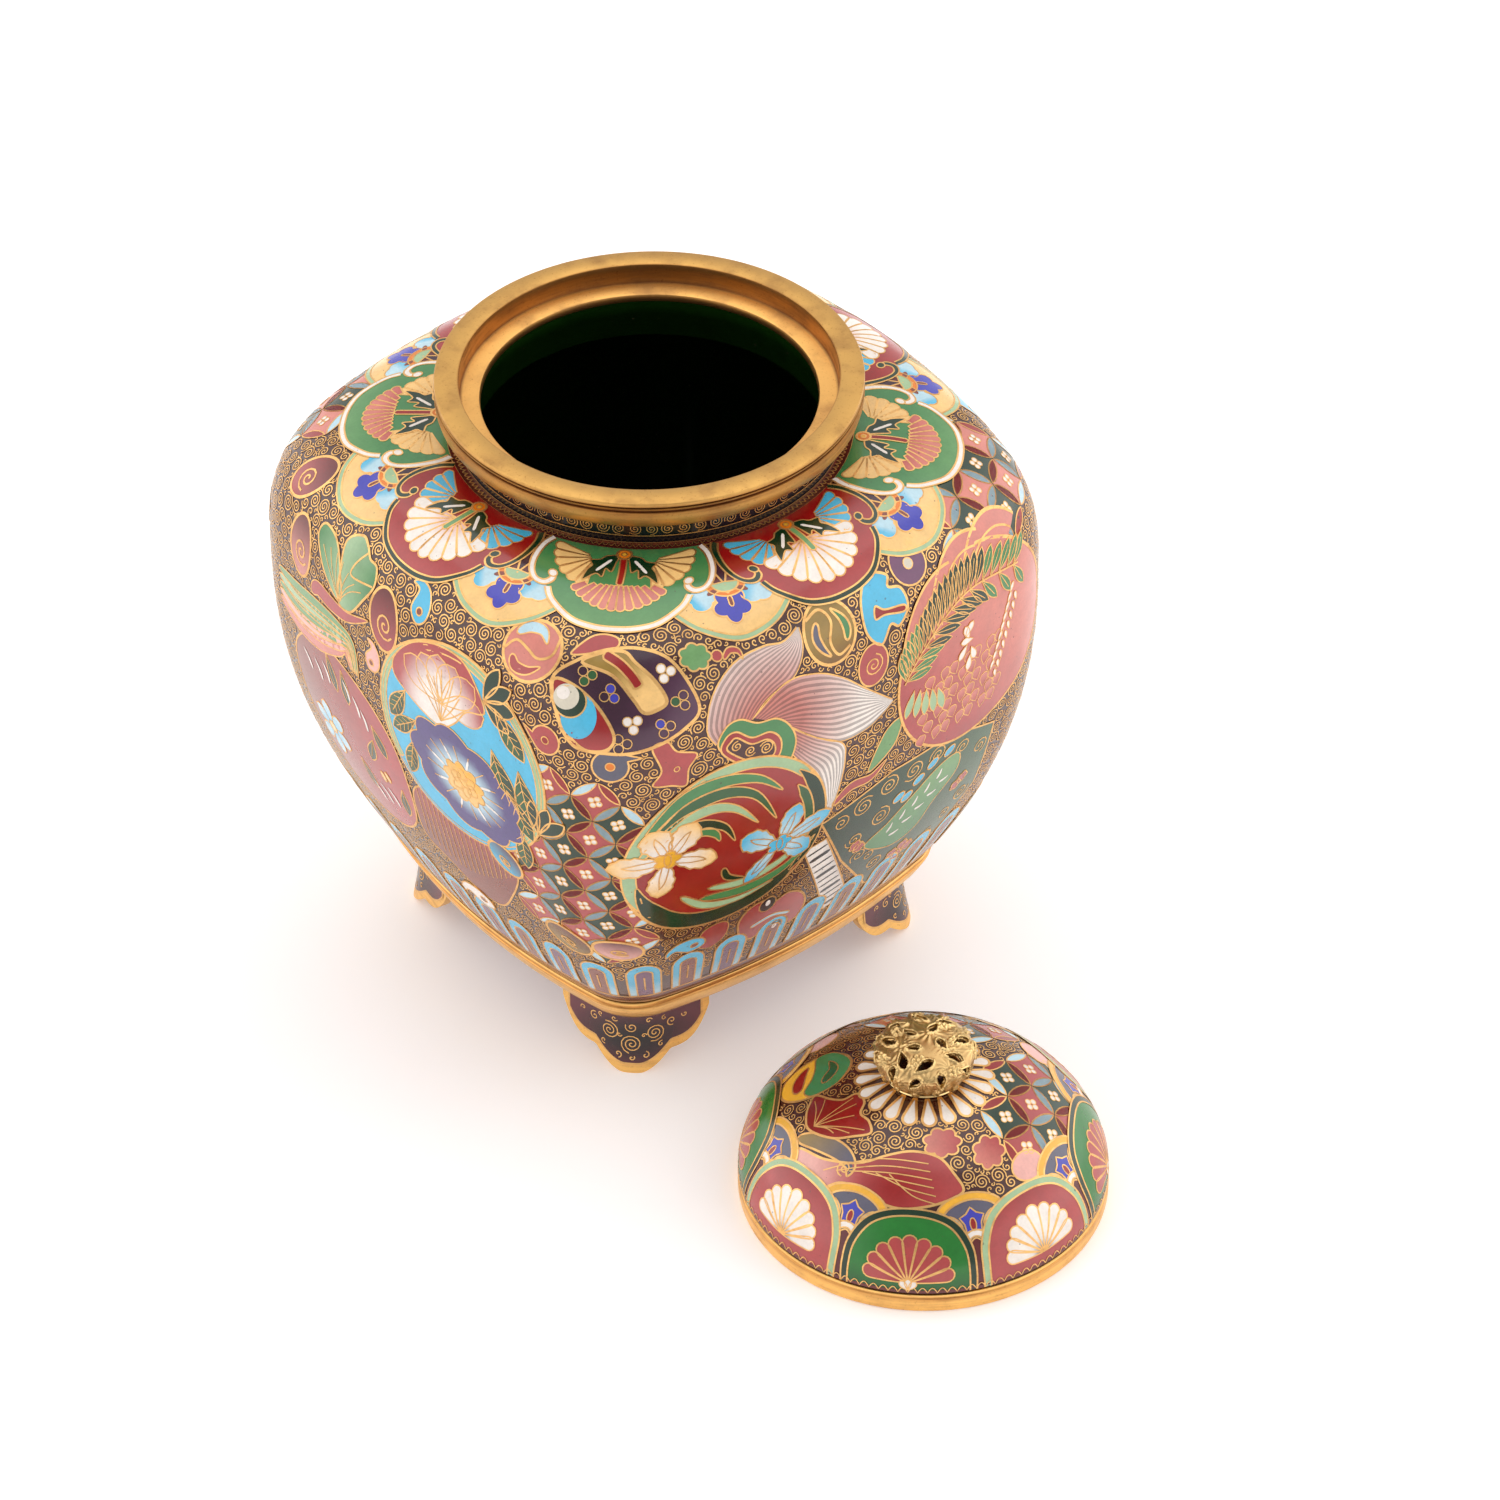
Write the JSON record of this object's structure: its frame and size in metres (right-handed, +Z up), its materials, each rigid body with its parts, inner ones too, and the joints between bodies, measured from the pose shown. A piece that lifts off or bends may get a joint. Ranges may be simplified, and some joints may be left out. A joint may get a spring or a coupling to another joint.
{
  "type": "cloisonne lidded jar",
  "caption": "Square-bodied cloisonne jar on bracket feet with a stepped gilt collar, and its domed lid with a pierced knob laid beside it.",
  "frame": {"origin": "on the floor, under the middle of the box round the jar and its lid", "axes": "+Z up; the jar's square sides face +X, -X, +Y and -Y; the lid lies on the -Y side of the jar"},
  "size_m": [0.0892, 0.1362, 0.0928],
  "materials": {
    "enamel": "glossy cloisonne enamel with gilt wires, green counter-enamel inside",
    "foot_enamel": "glossy aubergine enamel with gilt wires and a gilt edge",
    "gilt": "antique gilt brass, lightly tarnished"
  },
  "bodies": {
    "root": {"jar_body": "enamel", "base_band": "gilt", "foot_front_left": "foot_enamel", "foot_front_right": "foot_enamel", "foot_back_right": "foot_enamel", "foot_back_left": "foot_enamel", "collar_ring": "gilt", "lid_rim": "gilt", "lid_dome": "enamel", "lid_knob": "gilt"}
  },
  "joints": []
}
